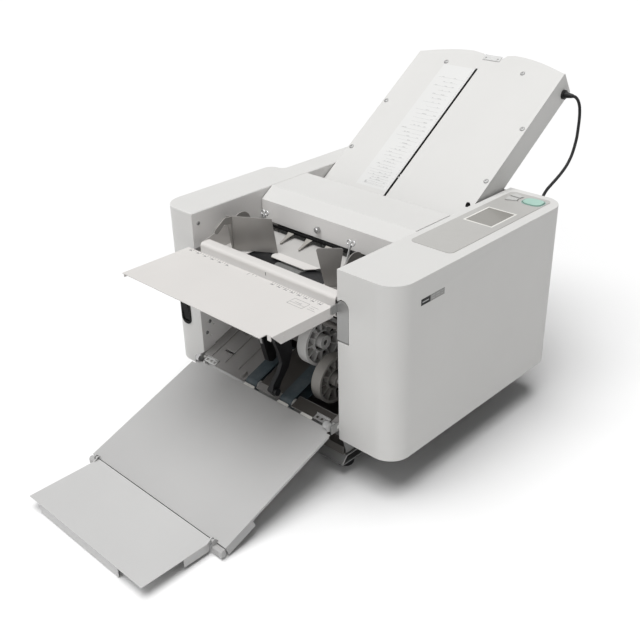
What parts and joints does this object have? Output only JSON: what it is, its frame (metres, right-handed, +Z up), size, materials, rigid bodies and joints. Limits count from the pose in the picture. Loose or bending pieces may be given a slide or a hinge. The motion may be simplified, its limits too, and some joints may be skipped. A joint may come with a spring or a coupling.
{
  "type": "paper folding machine",
  "caption": "Desktop paper folding machine with a flat feed table, side guides, a tall sloping fold plate, a control panel and a sloping delivery tray with a hinged extension.",
  "frame": {"origin": "centre of the footprint on the surface that the machine stands on", "axes": "+X to the operator's right, -Y to the front where the paper is fed and delivered, +Z up"},
  "size_m": [0.53, 1.024, 0.5625],
  "materials": {
    "cover_white": "satin powder coat",
    "inner_white": "satin paint",
    "tray_grey": "fine satin paint",
    "plated_steel": "zinc plated sheet",
    "bright_steel": "polished",
    "dark_steel": "dark satin",
    "guide_grey": "dark grey satin",
    "black_plastic": "fine texture",
    "white_plastic": "moulded",
    "black_rubber": "matt",
    "belt_rubber": "matt",
    "roller_rubber": "matt",
    "tray_light": "fine satin paint",
    "panel_film": "satin film",
    "screen": "gloss",
    "mint_plastic": "satin",
    "circuit": "solder mask",
    "bronze": "sintered"
  },
  "bodies": {
    "machine": {"base_pan": "dark_steel", "left_frame": "inner_white", "right_frame": "plated_steel", "cross_bars": "dark_steel", "bearings": "bronze", "left_cover": "cover_white", "right_cover": "cover_white", "top_cover": "cover_white", "rear_cover": "cover_white", "foot_brackets": "plated_steel", "rubber_feet": "black_rubber", "casing_screws": "bright_steel", "control_panel": "panel_film", "display_glass": "screen", "name_plate": "black_plastic", "switch_bezel": "black_plastic", "power_inlet": "black_plastic", "table_hinges": "plated_steel", "feed_lip": "inner_white", "feed_deck": "inner_white", "roller_guards": "black_plastic", "throat_plate": "inner_white", "guide_rail": "black_plastic", "drive_motor": "dark_steel", "fold_plate_pan": "cover_white", "upper_plate_sheet": "cover_white", "lower_plate_sheet": "plated_steel", "stop_drive": "bright_steel", "plate_cable": "black_rubber", "cable_plug": "black_plastic", "second_fold_plate": "plated_steel", "control_board": "circuit", "chute_plate": "dark_steel", "delivery_belts": "belt_rubber", "tray_hinges": "plated_steel"},
    "feed_table": {"feed_table": "inner_white"},
    "start_button": {"start_button": "mint_plastic"},
    "stop_button": {"stop_button": "white_plastic"},
    "clear_button": {"clear_button": "white_plastic"},
    "power_rocker": {"power_rocker": "black_plastic"},
    "separator_knob": {"separator_knob": "bright_steel"},
    "paper_fingers": {"paper_fingers": "guide_grey"},
    "left_guide": {"left_guide": "guide_grey"},
    "right_guide": {"right_guide": "guide_grey"},
    "left_clamp": {"left_clamp_screw": "bright_steel"},
    "right_clamp": {"right_clamp_screw": "bright_steel"},
    "feed_drive": {"feed_shaft": "bright_steel", "feed_roller": "roller_rubber"},
    "fold_roller_a": {"fold_roller_a": "roller_rubber"},
    "fold_roller_b": {"fold_roller_b": "bright_steel"},
    "fold_roller_c": {"fold_roller_c": "roller_rubber"},
    "fold_roller_d": {"fold_roller_d": "bright_steel"},
    "rear_belt_shaft": {"rear_belt_shaft": "white_plastic"},
    "front_belt_shaft": {"front_belt_shaft": "white_plastic"},
    "wheel_arm": {"wheel_arm": "dark_steel"},
    "press_wheel": {"press_wheel": "white_plastic"},
    "press_arms": {"press_arms": "black_plastic"},
    "delivery_tray": {"delivery_tray": "tray_grey"},
    "tray_extension": {"tray_extension": "tray_light"},
    "paper_stop": {"paper_stop": "plated_steel"}
  },
  "joints": [
    {"name": "table_fold", "type": "hinge", "parent": "machine", "child": "feed_table", "pos_m": [0, -0.134, 0.315], "axis": [-1, 0, 0], "range_deg": [0, 90]},
    {"name": "start_press", "type": "slide", "parent": "machine", "child": "start_button", "axis": [0, 0, -1], "range_m": [0, 0.0012], "stiffness_N_per_m": 300, "springref_m": -0.001},
    {"name": "stop_press", "type": "slide", "parent": "machine", "child": "stop_button", "axis": [0, 0, -1], "range_m": [0, 0.0012], "stiffness_N_per_m": 250, "springref_m": -0.001},
    {"name": "clear_press", "type": "slide", "parent": "machine", "child": "clear_button", "axis": [0, 0, -1], "range_m": [0, 0.0012], "stiffness_N_per_m": 250, "springref_m": -0.001},
    {"name": "power_switch", "type": "hinge", "parent": "machine", "child": "power_rocker", "pos_m": [-0.223, -0.121, 0.181], "axis": [-1, 0, 0], "range_deg": [0, 8]},
    {"name": "separator_turn", "type": "hinge", "parent": "machine", "child": "separator_knob", "pos_m": [-0.039, 0.033, 0.339], "axis": [0, -1, 0], "range_deg": [-180, 180]},
    {"name": "finger_lift", "type": "hinge", "parent": "machine", "child": "paper_fingers", "pos_m": [0, 0.0275, 0.319], "axis": [-1, 0, 0], "range_deg": [0, 35]},
    {"name": "left_guide_slide", "type": "slide", "parent": "machine", "child": "left_guide", "axis": [1, 0, 0], "range_m": [-0.018, 0.04]},
    {"name": "right_guide_slide", "type": "slide", "parent": "machine", "child": "right_guide", "axis": [1, 0, 0], "range_m": [-0.06, 0.026]},
    {"name": "left_clamp_turn", "type": "hinge", "parent": "left_guide", "child": "left_clamp", "pos_m": [-0.131, -0.025, 0.3052], "axis": [0, 0.342, 0.9397], "range_deg": [0, 720]},
    {"name": "right_clamp_turn", "type": "hinge", "parent": "right_guide", "child": "right_clamp", "pos_m": [0.071, -0.025, 0.3052], "axis": [0, 0.342, 0.9397], "range_deg": [0, 720]},
    {"name": "feed_spin", "type": "hinge", "parent": "machine", "child": "feed_drive", "pos_m": [0, -0.0485, 0.284], "axis": [1, 0, 0], "continuous": true},
    {"name": "fold_spin_a", "type": "hinge", "parent": "machine", "child": "fold_roller_a", "pos_m": [0, 0.07, 0.3], "axis": [1, 0, 0], "continuous": true},
    {"name": "fold_spin_b", "type": "hinge", "parent": "machine", "child": "fold_roller_b", "pos_m": [0, 0.07, 0.27], "axis": [1, 0, 0], "continuous": true},
    {"name": "fold_spin_c", "type": "hinge", "parent": "machine", "child": "fold_roller_c", "pos_m": [0, 0.052, 0.246], "axis": [1, 0, 0], "continuous": true},
    {"name": "fold_spin_d", "type": "hinge", "parent": "machine", "child": "fold_roller_d", "pos_m": [0, 0.058, 0.2166], "axis": [1, 0, 0], "continuous": true},
    {"name": "rear_belt_spin", "type": "hinge", "parent": "machine", "child": "rear_belt_shaft", "pos_m": [0, -0.04875, 0.1218], "axis": [1, 0, 0], "continuous": true},
    {"name": "front_belt_spin", "type": "hinge", "parent": "machine", "child": "front_belt_shaft", "pos_m": [0, -0.12755, 0.10141], "axis": [1, 0, 0], "continuous": true},
    {"name": "wheel_lift", "type": "hinge", "parent": "machine", "child": "wheel_arm", "pos_m": [0, 0.005, 0.2], "axis": [-1, 0, 0], "range_deg": [0, 20]},
    {"name": "wheel_spin", "type": "hinge", "parent": "wheel_arm", "child": "press_wheel", "pos_m": [0.04, -0.052, 0.1872], "axis": [1, 0, 0], "continuous": true},
    {"name": "arm_swing", "type": "hinge", "parent": "machine", "child": "press_arms", "pos_m": [0, -0.1, 0.262], "axis": [-1, 0, 0], "range_deg": [0, 20]},
    {"name": "tray_fold", "type": "hinge", "parent": "machine", "child": "delivery_tray", "pos_m": [0, -0.139, 0.101], "axis": [-1, 0, 0], "range_deg": [0, 40]},
    {"name": "extension_fold", "type": "hinge", "parent": "delivery_tray", "child": "tray_extension", "pos_m": [0, -0.384, 0.0235], "axis": [-1, 0, 0], "range_deg": [0, 160]},
    {"name": "paper_stop_slide", "type": "slide", "parent": "machine", "child": "paper_stop", "axis": [0, 0.832, 0.5548], "range_m": [0, 0.235]}
  ],
  "couplings": [
    {"joint": "fold_spin_b", "follows": "fold_spin_a", "ratio": -1},
    {"joint": "fold_spin_c", "follows": "fold_spin_a", "ratio": 1},
    {"joint": "fold_spin_d", "follows": "fold_spin_a", "ratio": -1},
    {"joint": "front_belt_spin", "follows": "rear_belt_spin", "ratio": 2}
  ]
}
